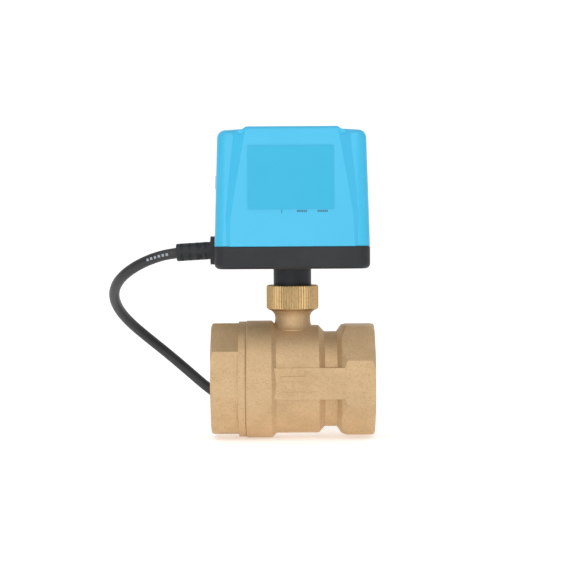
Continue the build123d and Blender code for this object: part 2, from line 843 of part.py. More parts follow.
terminal_x = stem_x - 19.0
terminal_pitch = 5.0
with BuildPart() as terminal_block:
    with BuildSketch(Plane.XY.offset(board_top)):
        with Locations((terminal_x, -12.0)):
            Rectangle(8.4, 3 * terminal_pitch)
    extrude(amount=9.5)
    with BuildSketch(Plane.XY.offset(board_top + 3.0)):
        with Locations((terminal_x, -12.0)):
            with GridLocations(1, terminal_pitch, 1, 3):
                Circle(1.6)
    extrude(amount=7.0, mode=Mode.SUBTRACT)
    # wire entries on the left
    with BuildSketch(across(terminal_x - 5)):
        with Locations((-12.0, board_top + 2.6)):
            with GridLocations(terminal_pitch, 1, 3, 1):
                Circle(1.1)
    extrude(amount=5.0, mode=Mode.SUBTRACT)
terminal_block.part.label = "terminal_block"
export_step(terminal_block.part, "parts/terminal_block.step")

# ================================================================ housing
inner_x = half_width - wall
inner_y = half_depth - wall
gasket_thickness = 0.4
cover_bottom = split_z + gasket_thickness
relief_z = 67.1
relief_neck_r = 5.2
cover_screw_x = 32.4
cover_screw_y = 23.2
cover_screw_r = 1.5
post_top = 95.0
web_bottom = 76.0
panel_proud = 0.8
lip_height = 2.6
lip_thickness = 1.0
lip_x = inner_x - 0.25
lip_y = inner_y - panel_proud - 0.25


def lean(angle, low, high):
    """How far a face that leans by an angle, in degrees, moves in between two levels."""
    return (high - low) * tan(radians(angle))


def four_screws():
    """Places of the four screws that join cover and base."""
    return GridLocations(2 * cover_screw_x, 2 * cover_screw_y, 2, 2)


# ---------------------------------------------------------------- black base tray
with BuildPart() as base_tray:
    with BuildSketch(on_stem(base_bottom)):
        RectangleRounded(2 * half_width, 2 * half_depth, corner_r)
    extrude(amount=split_z - base_bottom)
    fillet(base_tray.faces().sort_by(Axis.Z)[0].edges(), 2.6)
    with BuildSketch(on_stem(floor_z)):
        RectangleRounded(2 * inner_x, 2 * inner_y, corner_r - wall)
    extrude(amount=split_z - floor_z, mode=Mode.SUBTRACT)
    # lip that locates the cover, on a thicker band inside the wall
    for low, high, grow in ((split_z - 2, split_z, 1.5), (split_z, split_z + lip_height, 0)):
        with BuildSketch(on_stem(low)):
            RectangleRounded(2 * (lip_x + grow), 2 * (lip_y + grow), corner_r - wall)
            RectangleRounded(2 * (lip_x - lip_thickness), 2 * (lip_y - lip_thickness), 2.6, mode=Mode.SUBTRACT)
        extrude(amount=high - low)
    # screw bosses
    with BuildSketch(on_stem(floor_z)):
        with four_screws():
            Circle(3.4)
    extrude(amount=split_z - floor_z)
    with BuildSketch(on_stem(base_bottom)):
        with four_screws():
            Circle(cover_screw_r + 0.15)
    extrude(amount=20, mode=Mode.SUBTRACT)
    with BuildSketch(on_stem(base_bottom)):
        with four_screws():
            Circle(2.9)
    extrude(amount=1.8, mode=Mode.SUBTRACT)
    # hole for the neck, and pilot holes for its flange screws
    with BuildSketch(on_stem(base_bottom)):
        Circle(neck_r + 0.05)
    extrude(amount=floor_thickness, mode=Mode.SUBTRACT)
    with BuildSketch(on_stem(base_bottom + 0.4)):
        with PolarLocations(neck_screw_r, 4, start_angle=45):
            Circle(1.22)
    extrude(amount=floor_thickness, mode=Mode.SUBTRACT)
    # lower half of the lead's hole
    with BuildSketch(across(stem_x - half_width - 1)):
        with Locations((0, relief_z)):
            Circle(relief_neck_r + 0.05)
    extrude(amount=8, mode=Mode.SUBTRACT)
base_tray.part.label = "base_tray"
export_step(base_tray.part, "parts/base_tray.step")

# ---------------------------------------------------------------- gasket between base and cover
with BuildPart() as housing_gasket:
    with BuildSketch(on_stem(split_z)):
        RectangleRounded(2 * half_width - 1.0, 2 * half_depth - 1.0, corner_r - 0.5)
        RectangleRounded(2 * inner_x - 0.2, 2 * inner_y - 0.2, corner_r - wall, mode=Mode.SUBTRACT)
    extrude(amount=gasket_thickness)
    with BuildSketch(across(stem_x - half_width - 1)):
        with Locations((0, relief_z)):
            Circle(relief_neck_r + 0.05)
    extrude(amount=8, mode=Mode.SUBTRACT)
housing_gasket.part.label = "housing_gasket"
export_step(housing_gasket.part, "parts/housing_gasket.step")

# ---------------------------------------------------------------- blue cover
shoulder_lean = 3.6
panel_lean = 1.4
flank_depth = 3.2
flank_slope = 62.0
# half widths of the raised centre panel at four levels
panel_steps = [(cover_bottom, 31.4), (84.0, 30.9), (103.0, 27.9), (cover_top + 0.5, 22.9)]


def leaning_box(inset_x, inset_y, y_lean, bottom, top, radius):
    """Rounded box whose four sides lean in, made apart from any other part."""
    with BuildPart(mode=Mode.PRIVATE) as block:
        for level in (bottom, top):
            with BuildSketch(on_stem(level)):
                RectangleRounded(
                    2 * (half_width - inset_x - lean(side_draft, cover_bottom, level)),
                    2 * (half_depth - inset_y - lean(y_lean, cover_bottom, level)),
                    radius,
                )
        loft()
    return block.part


def panel_plane(side):
    """Leaning face of the centre panel, front (-1) or back (1), its origin at the cover's bottom edge."""
    slope = radians(panel_lean)
    return Plane(
        origin=(stem_x, side * half_depth, cover_bottom),
        x_dir=(-side, 0, 0),
        z_dir=(0, side * cos(slope), sin(slope)),
    )


panel_right = [(half, (level - cover_bottom) / cos(radians(panel_lean))) for level, half in panel_steps]
panel_outline = panel_right + [(-half, height) for half, height in reversed(panel_right)]
panel_top_half = panel_steps[-1][1]
band_step = 1.5
band_foot = 128.8
ridge_end = 33.2
band_right = [
    (half_width + 5, cover_bottom),
    (half_width + 5, 118.0),
    (panel_top_half + 10.5, 123.5),
    (panel_top_half + 6.0, 126.9),
    (panel_top_half + band_step, band_foot),
    (panel_top_half, cover_top),
]
band_outline = band_right + [(-x, z) for x, z in reversed(band_right)]
# centre panel, wrapped over the top, with wide sloping flanks
with BuildPart() as centre_panel:
    for side in (-1, 1):
        with BuildSketch(panel_plane(side)):
            Polygon(*panel_outline, align=None)
        extrude(amount=-flank_depth, taper=-flank_slope)
    with BuildSketch(on_stem(shoulder_z - 2)):
        Rectangle(2 * panel_top_half + 8, 2 * half_depth - 4)
    extrude(amount=4)
    # the front view: the raised band's ends slope down to the shoulders
    with BuildSketch(Plane.XZ):
        with Locations((stem_x, 0)):
            Polygon(*band_outline, align=None)
    extrude(amount=half_depth, both=True, mode=Mode.INTERSECT)
    # the side view: leaning faces, rounded into the top
    with BuildSketch(Plane.YZ.offset(stem_x)):
        top_half = half_depth - lean(panel_lean, cover_bottom, cover_top)
        Polygon(
            (-half_depth, cover_bottom),
            (half_depth, cover_bottom),
            (top_half, cover_top),
            (-top_half, cover_top),
            align=None,
        )
        fillet(vertices().group_by(Axis.Y)[-1], 2.6)
    extrude(amount=half_width + 5, both=True, mode=Mode.INTERSECT)
    add(leaning_box(0, 0, panel_lean, cover_bottom, cover_top, corner_r), mode=Mode.INTERSECT)

with BuildPart() as cover:
    # walls, shoulders and their rounded edges
    add(leaning_box(0, panel_proud, shoulder_lean, cover_bottom, shoulder_z, corner_r - 0.4))
    fillet(cover.faces().sort_by(Axis.Z)[-1].edges(), 4.2)
    add(centre_panel.part)
    # low ridges from the band's ends to the rounded sides
    with BuildSketch(Plane.XZ):
        with Locations((stem_x, 0)):
            Polygon(
                (-ridge_end, shoulder_z - 0.5),
                (-ridge_end, shoulder_z),
                (-panel_top_half - band_step, band_foot),
                (panel_top_half + band_step, band_foot),
                (ridge_end, shoulder_z),
                (ridge_end, shoulder_z - 0.5),
                align=None,
            )
    extrude(amount=22, both=True)
    chamfer(cover.faces().sort_by(Axis.Z)[0].edges(), 0.25)
    # hollow, open at the bottom
    hollow_top = shoulder_z - wall
    hollow_radius = corner_r - wall
    hollow = leaning_box(wall, panel_proud + wall, shoulder_lean, cover_bottom - 1, hollow_top, hollow_radius)
    add(hollow, mode=Mode.SUBTRACT)
    # screw posts
    with BuildSketch(on_stem(cover_bottom)):
        with four_screws():
            Circle(3.2)
    extrude(amount=post_top - cover_bottom)
    # webs that join the posts to the side walls
    with BuildSketch(on_stem(web_bottom)):
        with GridLocations(2 * (half_width - 4.4), 2 * cover_screw_y, 2, 2):
            Rectangle(5.4, 1.6)
    extrude(amount=post_top - web_bottom)
    with BuildSketch(on_stem(cover_bottom)):
        with four_screws():
            Circle(cover_screw_r + 0.02)
    extrude(amount=18, mode=Mode.SUBTRACT)
    # upper part of the lead's hole
    with BuildSketch(across(stem_x - half_width - 2)):
        with Locations((0, relief_z)):
            Circle(relief_neck_r + 0.05)
    extrude(amount=8, mode=Mode.SUBTRACT)
cover.part.label = "cover"
export_step(cover.part, "parts/cover.step")

# ---------------------------------------------------------------- screws that hold the cover, from below
with BuildPart() as cover_screws:
    with BuildSketch(on_stem(base_bottom + 0.2)):
        with four_screws():
            Circle(2.75)
    extrude(amount=1.6)
    with BuildSketch(on_stem(base_bottom + 1.8)):
        with four_screws():
            Circle(cover_screw_r)
    extrude(amount=24.0)
    with BuildSketch(on_stem(base_bottom + 0.2)):
        with four_screws():
            Rectangle(3.4, 0.7)
            Rectangle(0.7, 3.4)
    extrude(amount=0.9, mode=Mode.SUBTRACT)
cover_screws.part.label = "cover_screws"
export_step(cover_screws.part, "parts/cover_screws.step")

# ---------------------------------------------------------------- blank labels
with BuildPart() as nameplate:
    with BuildSketch(panel_plane(-1)):
        with Locations((-0.6, 104.3 - cover_bottom)):
            RectangleRounded(43.4, 32.1, 0.4)
    extrude(amount=0.25)
nameplate.part.label = "nameplate"
export_step(nameplate.part, "parts/nameplate.step")

side_label_z = 102.0
with BuildPart() as side_label:
    with BuildSketch(
        Plane(
            origin=(stem_x - half_width + lean(side_draft, cover_bottom, side_label_z), 0, side_label_z),
            x_dir=(0, -1, 0),
            z_dir=(-cos(radians(side_draft)), 0, sin(radians(side_draft))),
        )
    ):
        with Locations((12.0, 0)):
            RectangleRounded(16.0, 6.8, 1.5)
    extrude(amount=0.6)
side_label.part.label = "side_label"
export_step(side_label.part, "parts/side_label.step")

# ================================================================ lead
# ---------------------------------------------------------------- strain relief with its slotted sleeve
relief_tilt = 3.4
relief_start = half_width + 3.0
relief_length = 17.8
relief_bore_r = cable_r + 0.12
slot_pitch = 4.15
slot_gap = 1.2
slot_web = 0.9
sleeve_wall = 0.9
relief_direction = Vector(-cos(radians(relief_tilt)), 0, -sin(radians(relief_tilt)))


def relief_plane(distance):
    """Plane square to the sleeve, at a distance from the flange's outer face."""
    root = Vector(stem_x - relief_start, 0, relief_z)
    return Plane(origin=root + relief_direction * distance, x_dir=(0, 1, 0), z_dir=relief_direction)


with BuildPart() as strain_relief:
    with BuildSketch(across(stem_x - relief_start)):
        with Locations((0, relief_z)):
            RectangleRounded(12.4, 14.6, 4.0)
    extrude(amount=relief_start - half_width - 0.32)
    with BuildSketch(across(stem_x - half_width - 0.4)):
        with Locations((0, relief_z)):
            Circle(relief_neck_r)
    extrude(amount=4.0)
    with BuildSketch(relief_plane(-1.0)):
        Circle(relief_r)
    extrude(amount=relief_length + 1.0)
    chamfer(strain_relief.faces().sort_by(Axis.X)[0].edges(), 0.5)
    with BuildSketch(relief_plane(-8.0)):
        Circle(relief_bore_r)
    extrude(amount=relief_length + 12.0, mode=Mode.SUBTRACT)
    # four recesses round each ring leave webs above, below, in front and behind
    for step in range(4):
        with BuildSketch(relief_plane(1.7 + slot_pitch * step)):
            with GridLocations(2 * (slot_web + relief_r), 2 * (slot_web + relief_r), 2, 2):
                Rectangle(2 * relief_r, 2 * relief_r)
        extrude(amount=slot_gap, mode=Mode.SUBTRACT)
    # sleeve under the recesses
    with BuildSketch(relief_plane(0)):
        Circle(relief_bore_r + sleeve_wall)
        Circle(relief_bore_r, mode=Mode.SUBTRACT)
    extrude(amount=relief_length - 0.5)
strain_relief.part.label = "strain_relief"
export_step(strain_relief.part, "parts/strain_relief.step")

# ---------------------------------------------------------------- the lead's free run
# route on the stem axis: x to the left is negative, y is away from the front
lead_route = [
    (-38.0, 0.0, 67.4),
    (-50.2, 0.0, 66.75),
    (-62.5, 0.0, 65.9),
    (-74.2, 2.7, 62.7),
    (-84.9, 9.1, 57.3),
    (-92.7, 18.6, 50.7),
    (-96.3, 30.5, 43.1),
    (-95.2, 42.6, 35.1),
    (-89.8, 53.2, 26.7),
    (-81.0, 60.8, 18.1),
    (-70.5, 65.3, 9.0),
    (-59.3, 67.2, -0.9),
    (-47.4, 67.7, -11.5),
    (-35.8, 67.3, -19.6),
    (-23.2, 66.7, -25.0),
    (-10.0, 66.2, -27.3),
    (3.0, 66.0, cable_rest_z),
]


def bend_radii(points):
    """Radius of the arc at each corner: 0.45 of the shorter run over the tangent of half the turn."""
    radii = []
    for before, corner, after in zip(points, points[1:], points[2:]):
        run_in = Vector(*corner) - Vector(*before)
        run_out = Vector(*after) - Vector(*corner)
        half_turn = radians(run_in.get_angle(run_out)) / 2
        radii.append(0.45 * min(run_in.length, run_out.length) / tan(half_turn))
    return radii


def report_tube(name, part, line, radius, radii):
    """Print a tube's bend radii, and its volume beside its section times its length."""
    print(name, "radii", " ".join(f"{r:.1f}" for r in radii))
    print(name, f"length {line.length:.1f} volume {part.volume:.1f} of {pi * radius**2 * line.length:.1f}")


lead_points = [(stem_x + x, y, z) for x, y, z in lead_route]
lead_radii = bend_radii(lead_points)
with BuildPart() as cable_lead:
    with BuildLine():
        lead_line = FilletPolyline(*lead_points, radius=lead_radii)
    with BuildSketch(Plane(origin=lead_line @ 0, z_dir=lead_line % 0)):
        Circle(cable_r)
    sweep()
cable_lead.part.label = "cable_lead"
export_step(cable_lead.part, "parts/cable_lead.step")
report_tube("cable_lead", cable_lead.part, lead_line, cable_r, lead_radii)

# ---------------------------------------------------------------- flat coil of the stored length
coil_turns = 2.8
coil_pitch = 5.7
coil_start_r = 38.0
coil_end_r = coil_start_r - coil_pitch * coil_turns
coil_x = lead_points[-1][0]
coil_y = lead_points[-1][1] + coil_start_r
coil_inner_r = coil_end_r - cable_r
coil_outer_r = coil_start_r + cable_r
with BuildPart() as cable_coil:
    with BuildSketch(Plane.XY.offset(floor_level)):
        with Locations((coil_x, coil_y)):
            Circle(coil_outer_r)
            Circle(coil_inner_r, mode=Mode.SUBTRACT)
    extrude(amount=2 * cable_r)
cable_coil.part.label = "cable_coil"
export_step(cable_coil.part, "parts/cable_coil.step")

# ---------------------------------------------------------------- tie around the coil
tie_angle = 40.0
tie_thickness = 1.0
tie_width = 4.0
tie_origin = (coil_x, coil_y, floor_level)
tie_plane = Plane(
    origin=tie_origin,
    x_dir=(cos(radians(tie_angle)), sin(radians(tie_angle)), 0),
    z_dir=(sin(radians(tie_angle)), -cos(radians(tie_angle)), 0),
)
with BuildPart() as cable_tie:
    with BuildSketch(tie_plane):
        with Locations(((coil_inner_r + coil_outer_r) / 2, cable_r + tie_thickness / 2)):
            Rectangle(coil_outer_r - coil_inner_r + 2 * tie_thickness, 2 * cable_r + tie_thickness)
            Rectangle(coil_outer_r - coil_inner_r, 2 * cable_r - tie_thickness, mode=Mode.SUBTRACT)
    extrude(amount=tie_width / 2, both=True)
    with BuildSketch(tie_plane):
        with Locations((coil_inner_r + 9, 2 * cable_r + tie_thickness + 1.2)):
            Rectangle(6.0, 2.6)
    extrude(amount=tie_width / 2 + 1, both=True)
cable_tie.part.label = "cable_tie"
export_step(cable_tie.part, "parts/cable_tie.step")

# ---------------------------------------------------------------- bare end: three cores with tinned tips
core_r = 1.1
core_run = 7.0
core_tip = 5.5
end_angle = -90 + 360 * coil_turns
end_heading = end_angle + 90
end_point = polar_point((coil_x, coil_y), coil_end_r, end_angle)
# name, turn after each run, sideways place in the sheath, heights above the floor along the way
cores = (
    ("core_brown", 32.0, -1.25, (2.05, 1.6, 1.1, 1.1, 1.1)),
    ("core_black", 41.0, 0.0, (4.15, 3.85, 3.0, 1.8, 1.1)),
    ("core_blue", 50.0, 1.25, (2.05, 1.6, 1.1, 1.1, 1.1)),
)


def core_route(turn, sideways, heights):
    """Route of one core: out of the sheath, down to the floor, then curling inside the coil."""
    x, y = polar_point(end_point, sideways, end_heading + 90)
    points = [(x, y, floor_level + heights[0])]
    for run, height in enumerate(heights[1:]):
        x, y = polar_point((x, y), core_run, end_heading + turn * run)
        points.append((x, y, floor_level + height))
    return points


with BuildPart() as core_tips:
    for core_name, turn, sideways, heights in cores:
        points = core_route(turn, sideways, heights)
        with BuildSketch(Plane(origin=points[-1], z_dir=Vector(*points[-1]) - Vector(*points[-2]))):
            Circle(0.75)
        extrude(amount=core_tip)
core_tips.part.label = "core_tips"
export_step(core_tips.part, "parts/core_tips.step")

for core_name, turn, sideways, heights in cores:
    points = core_route(turn, sideways, heights)
    radii = bend_radii(points)
    with BuildPart() as core:
        with BuildLine():
            core_line = FilletPolyline(*points, radius=radii)
        with BuildSketch(Plane(origin=core_line @ 0, z_dir=core_line % 0)):
            Circle(core_r)
        sweep()
    core.part.label = core_name
    export_step(core.part, f"parts/{core_name}.step")
    report_tube(core_name, core.part, core_line, core_r, radii)

# ---------------------------------------------------------------- leads inside the housing
inner_lead_r = 0.8
inner_lead_bend = 2.2
inner_lead_x = -31.8
inner_lead_top = board_top + 2.6
terminal_rel_x = terminal_x - stem_x
# level in the sleeve, place along the wall, place of the terminal's entry
inner_routes = ((-1.75, -18.4, -17.0), (0.0, -16.0, -12.0), (1.75, -13.6, -7.0))
with BuildPart() as inner_leads:
    for level, wall_y, entry_y in inner_routes:
        points = [
            (-37.8, 0.0, relief_z + 0.2 + level),
            (inner_lead_x, 0.0, relief_z + 0.2 + level),
            (inner_lead_x, wall_y, relief_z + 0.2 + level),
            (inner_lead_x, wall_y, inner_lead_top),
            (terminal_rel_x - 5.6, entry_y, inner_lead_top),
            (terminal_rel_x - 2.6, entry_y, inner_lead_top),
        ]
        with BuildLine():
            inner_line = FilletPolyline(*[(stem_x + x, y, z) for x, y, z in points], radius=inner_lead_bend)
        with BuildSketch(Plane(origin=inner_line @ 0, z_dir=inner_line % 0)):
            Circle(inner_lead_r)
        sweep()
inner_leads.part.label = "inner_leads"
export_step(inner_leads.part, "parts/inner_leads.step")
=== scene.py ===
"""Looks of the motorised ball valve: finishes, pipe threads, print, lead, floor, light and camera.

Metres, in the part's own frame: +X along the pipe, +Z up the stem, front towards -Y.
"""

import json
import math

import bpy
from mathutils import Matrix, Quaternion, Vector


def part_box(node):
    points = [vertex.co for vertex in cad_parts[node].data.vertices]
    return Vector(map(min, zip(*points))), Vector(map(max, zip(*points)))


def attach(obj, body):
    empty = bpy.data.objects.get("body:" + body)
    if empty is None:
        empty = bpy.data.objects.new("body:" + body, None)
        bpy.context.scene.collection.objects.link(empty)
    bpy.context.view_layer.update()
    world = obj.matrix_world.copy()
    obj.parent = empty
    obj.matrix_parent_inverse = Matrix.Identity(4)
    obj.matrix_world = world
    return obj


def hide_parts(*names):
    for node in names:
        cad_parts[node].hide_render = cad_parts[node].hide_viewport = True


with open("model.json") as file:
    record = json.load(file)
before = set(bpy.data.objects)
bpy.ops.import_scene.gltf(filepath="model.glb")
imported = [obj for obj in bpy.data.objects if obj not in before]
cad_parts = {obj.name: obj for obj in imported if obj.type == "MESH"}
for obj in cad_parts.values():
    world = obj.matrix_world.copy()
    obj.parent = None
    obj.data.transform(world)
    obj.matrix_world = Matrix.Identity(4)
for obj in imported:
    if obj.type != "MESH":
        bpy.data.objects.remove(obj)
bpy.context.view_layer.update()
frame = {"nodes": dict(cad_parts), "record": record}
nodes = frame["nodes"]

MM = 0.001
STEM_X = 42 * MM
FLOOR_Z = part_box("valve_body")[0].z
CABLE_R = 2.8 * MM


# ---------------------------------------------------------------- materials
def add_node(tree, kind, inputs=None, **settings):
    """New shader node with its settings, its inputs linked or given a value."""
    made = tree.nodes.new("ShaderNode" + kind)
    for key, value in settings.items():
        setattr(made, key, value)
    for key, value in (inputs or {}).items():
        if isinstance(value, bpy.types.NodeSocket):
            tree.links.new(value, made.inputs[key])
        else:
            made.inputs[key].default_value = value
    return made


def noise(tree, scale, detail=4.0, roughness=0.6, stretch=None):
    """Noise in the part's own space, its scale in cells per metre, perhaps drawn out along an axis."""
    place = add_node(tree, "TexCoord").outputs["Object"]
    if stretch:
        place = add_node(tree, "Mapping", {"Vector": place, "Scale": stretch}).outputs["Vector"]
    inputs = {"Vector": place, "Scale": scale, "Detail": detail, "Roughness": roughness}
    return add_node(tree, "TexNoise", inputs).outputs["Fac"]


def band(tree, value, low, high, to_low=0.0, to_high=1.0):
    """Value spread from one range onto another, held at its ends."""
    inputs = {"Value": value, "From Min": low, "From Max": high, "To Min": to_low, "To Max": to_high}
    return add_node(tree, "MapRange", inputs).outputs["Result"]


def mix_colour(tree, factor, first, second):
    """Colour between two colours."""
    made = add_node(tree, "Mix", data_type="RGBA")
    tree.links.new(factor, made.inputs["Factor"])
    for key, value in (("A", first), ("B", second)):
        socket = [s for s in made.inputs if s.name == key and s.type == "RGBA"][0]
        if isinstance(value, bpy.types.NodeSocket):
            tree.links.new(value, socket)
        else:
            socket.default_value = (*value, 1.0)
    return [s for s in made.outputs if s.type == "RGBA"][0]


def finish(
    name,
    colour,
    roughness,
    metallic=0.0,
    other=None,
    mottle=(60, 0.42, 0.62),
    speck=None,
    speck_scale=1500,
    grain=(1600, 0.03),
    wave=None,
    spread=0.08,
    stretch=None,
    coat=0.0,
    specular=0.5,
):
    """Procedural finish.

    other is the colour of broad mottling, speck the colour of fine specks, grain the scale and the
    depth in mm of a fine bump, wave the same for a broad one, and stretch draws the grain out.
    """
    made = bpy.data.materials.new(name)
    made.use_nodes = True
    tree = made.node_tree
    shader = tree.nodes["Principled BSDF"]
    shader.inputs["Metallic"].default_value = metallic
    shader.inputs["Coat Weight"].default_value = coat
    shader.inputs["Specular IOR Level"].default_value = specular
    other = other or tuple(0.86 * c for c in colour)
    tone = band(tree, noise(tree, mottle[0]), mottle[1], mottle[2])
    paint = mix_colour(tree, tone, colour, other)
    fine = noise(tree, grain[0], detail=6.0, roughness=0.65, stretch=stretch)
    if speck:
        specks = band(tree, noise(tree, speck_scale, detail=3.0), 0.52, 0.66, 0.0, 0.75)
        paint = mix_colour(tree, specks, paint, speck)
    tree.links.new(paint, shader.inputs["Base Color"])
    rough = band(tree, fine, 0.3, 0.7, roughness - spread, roughness + spread)
    tree.links.new(rough, shader.inputs["Roughness"])
    bump = add_node(tree, "Bump", {"Height": fine, "Strength": 0.8, "Distance": grain[1] * MM})
    if wave:
        broad = noise(tree, wave[0], detail=2.0)
        below = add_node(tree, "Bump", {"Height": broad, "Strength": 0.8, "Distance": wave[1] * MM})
        tree.links.new(below.outputs["Normal"], bump.inputs["Normal"])
    tree.links.new(bump.outputs["Normal"], shader.inputs["Normal"])
    return made


FINISHES = {
    "cast_brass": finish(
        "cast_brass",
        (0.63, 0.44, 0.245),
        0.58,
        metallic=0.55,
        other=(0.57, 0.395, 0.215),
        speck=(0.48, 0.335, 0.185),
        speck_scale=1300,
        grain=(1300, 0.10),
        wave=(420, 0.12),
    ),
    "turned_brass": finish(
        "turned_brass",
        (0.62, 0.43, 0.21),
        0.34,
        metallic=0.9,
        other=(0.54, 0.36, 0.17),
        speck=(0.42, 0.27, 0.12),
        speck_scale=900,
        grain=(900, 0.02),
        stretch=(1, 1, 6),
    ),
    "chromed_brass": finish("chromed_brass", (0.75, 0.76, 0.78), 0.12, metallic=1.0, grain=(700, 0.004)),
    "ptfe": finish("ptfe", (0.86, 0.86, 0.83), 0.42, grain=(900, 0.01)),
    "black_rubber": finish("black_rubber", (0.022, 0.022, 0.023), 0.62, grain=(1400, 0.03)),
    "bright_steel": finish(
        "bright_steel", (0.58, 0.58, 0.59), 0.28, metallic=1.0, grain=(800, 0.01), stretch=(1, 1, 8)
    ),
    "zinc_screws": finish("zinc_screws", (0.62, 0.62, 0.60), 0.34, metallic=1.0, grain=(900, 0.02)),
    "zinc_plate": finish(
        "zinc_plate",
        (0.60, 0.61, 0.60),
        0.38,
        metallic=1.0,
        other=(0.52, 0.54, 0.53),
        mottle=(160, 0.4, 0.6),
    ),
    "motor_shell": finish(
        "motor_shell", (0.48, 0.49, 0.50), 0.36, metallic=0.7, grain=(700, 0.02), stretch=(1, 1, 5)
    ),
    "bronze_bush": finish("bronze_bush", (0.55, 0.36, 0.18), 0.40, metallic=0.9, grain=(1500, 0.03)),
    "white_acetal": finish("white_acetal", (0.80, 0.80, 0.75), 0.38, grain=(700, 0.01)),
    "red_acetal": finish("red_acetal", (0.52, 0.05, 0.04), 0.38, grain=(700, 0.01)),
    "switch_case": finish("switch_case", (0.03, 0.03, 0.034), 0.42, grain=(1500, 0.02)),
    "circuit_green": finish("circuit_green", (0.03, 0.20, 0.08), 0.30, coat=0.3, grain=(500, 0.02)),
    "capacitor_case": finish("capacitor_case", (0.66, 0.44, 0.05), 0.32, grain=(600, 0.01)),
    "terminal_green": finish("terminal_green", (0.05, 0.32, 0.12), 0.40, grain=(900, 0.01)),
    "black_plastic": finish(
        "black_plastic",
        (0.016, 0.018, 0.021),
        0.50,
        other=(0.021, 0.023, 0.026),
        grain=(1500, 0.03),
        specular=0.35,
    ),
    "blue_plastic": finish(
        "blue_plastic",
        (0.050, 0.490, 0.765),
        0.36,
        other=(0.046, 0.475, 0.750),
        mottle=(25, 0.35, 0.65),
        grain=(1300, 0.012),
        wave=(45, 0.06),
        spread=0.04,
    ),
    "label_film": finish(
        "label_film",
        (0.016, 0.425, 0.670),
        0.38,
        other=(0.015, 0.418, 0.660),
        grain=(900, 0.006),
        wave=(60, 0.02),
        spread=0.04,
    ),
    "pale_film": finish("pale_film", (0.62, 0.62, 0.74), 0.40, grain=(900, 0.01)),
    "black_sheath": finish(
        "black_sheath",
        (0.017, 0.017, 0.019),
        0.42,
        other=(0.023, 0.023, 0.025),
        grain=(1200, 0.03),
        wave=(150, 0.05),
    ),
    "tie_nylon": finish("tie_nylon", (0.030, 0.030, 0.030), 0.42, grain=(1100, 0.02)),
    "brown_insulation": finish("brown_insulation", (0.15, 0.05, 0.02), 0.38, grain=(1100, 0.02)),
    "black_insulation": finish("black_insulation", (0.020, 0.020, 0.020), 0.38, grain=(1100, 0.02)),
    "blue_insulation": finish("blue_insulation", (0.02, 0.10, 0.42), 0.38, grain=(1100, 0.02)),
    "grey_insulation": finish("grey_insulation", (0.28, 0.29, 0.31), 0.40, grain=(1100, 0.02)),
    "tinned_copper": finish(
        "tinned_copper", (0.62, 0.61, 0.58), 0.30, metallic=1.0, grain=(1500, 0.05), stretch=(1, 1, 3)
    ),
}
white_print = finish("white_print", (0.36, 0.39, 0.44), 0.45, grain=(2500, 0.01))
slate_print = finish("slate_print", (0.035, 0.16, 0.24), 0.45, grain=(2500, 0.01))

slots = {part["node"]: part["material_slot"] for part in frame["record"]["subparts"]}
for name, part in nodes.items():
    part.data.materials.clear()
    part.data.materials.append(FINISHES[slots[name]])


# ---------------------------------------------------------------- pieces
def make_piece(name, verts, faces, slot, material=None, smooth=True):
    """Mesh piece on the valve body, in the finish of one of the record's slots."""
    mesh = bpy.data.meshes.new(name)
    mesh.from_pydata(verts, [], faces)
    mesh.update()
    mesh.shade_smooth() if smooth else mesh.shade_flat()
    mesh.materials.append(material or FINISHES[slot])
    made = bpy.data.objects.new(name, mesh)
    bpy.context.scene.collection.objects.link(made)
    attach(made, "valve")
    return made


def tube_faces(rings, around):
    """Faces of a closed skin over rings of points, all with the same number of points."""
    faces = []
    for ring in range(rings - 1):
        for side in range(around):
            here = ring * around + side
            beside = ring * around + (side + 1) % around
            faces.append((here, beside, beside + around, here + around))
    faces.append(tuple(range(around))[::-1])
    faces.append(tuple(range((rings - 1) * around, rings * around)))
    return faces


# ---------------------------------------------------------------- pipe threads, G 1 1/2, right hand
THREAD_PITCH = 2.309 * MM
THREAD_R = 23.9 * MM
THREAD_DEPTH = 1.48 * MM
THREAD_LENGTH = 16.4 * MM
# section of the ridge: place along the pipe in pitches, height over the wall in depths
RIDGE = ((-0.44, -0.03), (-0.20, 0.62), (-0.09, 0.97), (0.09, 0.97), (0.20, 0.62), (0.44, -0.03))


def thread_ridge(name, mouth_x, inward):
    """Helical ridge inside a mouth, faded in and out over half a turn."""
    steps_per_turn = 96
    turns = (THREAD_LENGTH - THREAD_PITCH) / THREAD_PITCH
    steps = int(turns * steps_per_turn)
    first_x = mouth_x if inward > 0 else mouth_x - THREAD_LENGTH
    verts = []
    for step in range(steps + 1):
        turn = step / steps_per_turn
        fade = min(1.0, 2 * turn + 0.02, 2 * (steps / steps_per_turn - turn) + 0.02)
        angle = 2 * math.pi * turn
        for along, height in RIDGE:
            x = first_x + THREAD_PITCH * (0.5 + turn + along)
            r = THREAD_R - THREAD_DEPTH * (height * fade if height > 0 else height)
            verts.append((x, r * math.cos(angle), r * math.sin(angle)))
    return make_piece(name, verts, tube_faces(steps + 1, len(RIDGE)), "turned_brass")


thread_ridge("inlet_thread_ridge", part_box("end_cap")[0].x + 0.3 * MM, 1)
thread_ridge("outlet_thread_ridge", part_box("valve_body")[1].x - 0.3 * MM, -1)

# ---------------------------------------------------------------- print under the label
PANEL_LEAN = math.tan(math.radians(1.4))
# a tick, then two rows of short bars, each with its low and high x from the stem axis and its z, in mm
MARKS = [(-5.4, -5.0, 86.2, 87.9)]
BAR_STEP = 0.88
BAR_WIDTH = 0.62
for row_start in (2.4, 12.8):
    for bar_low in [row_start + BAR_STEP * bar for bar in range(6)]:
        MARKS.append((bar_low, bar_low + BAR_WIDTH, 86.7, 87.8))
PRINT_LIFT = 0.05 * MM


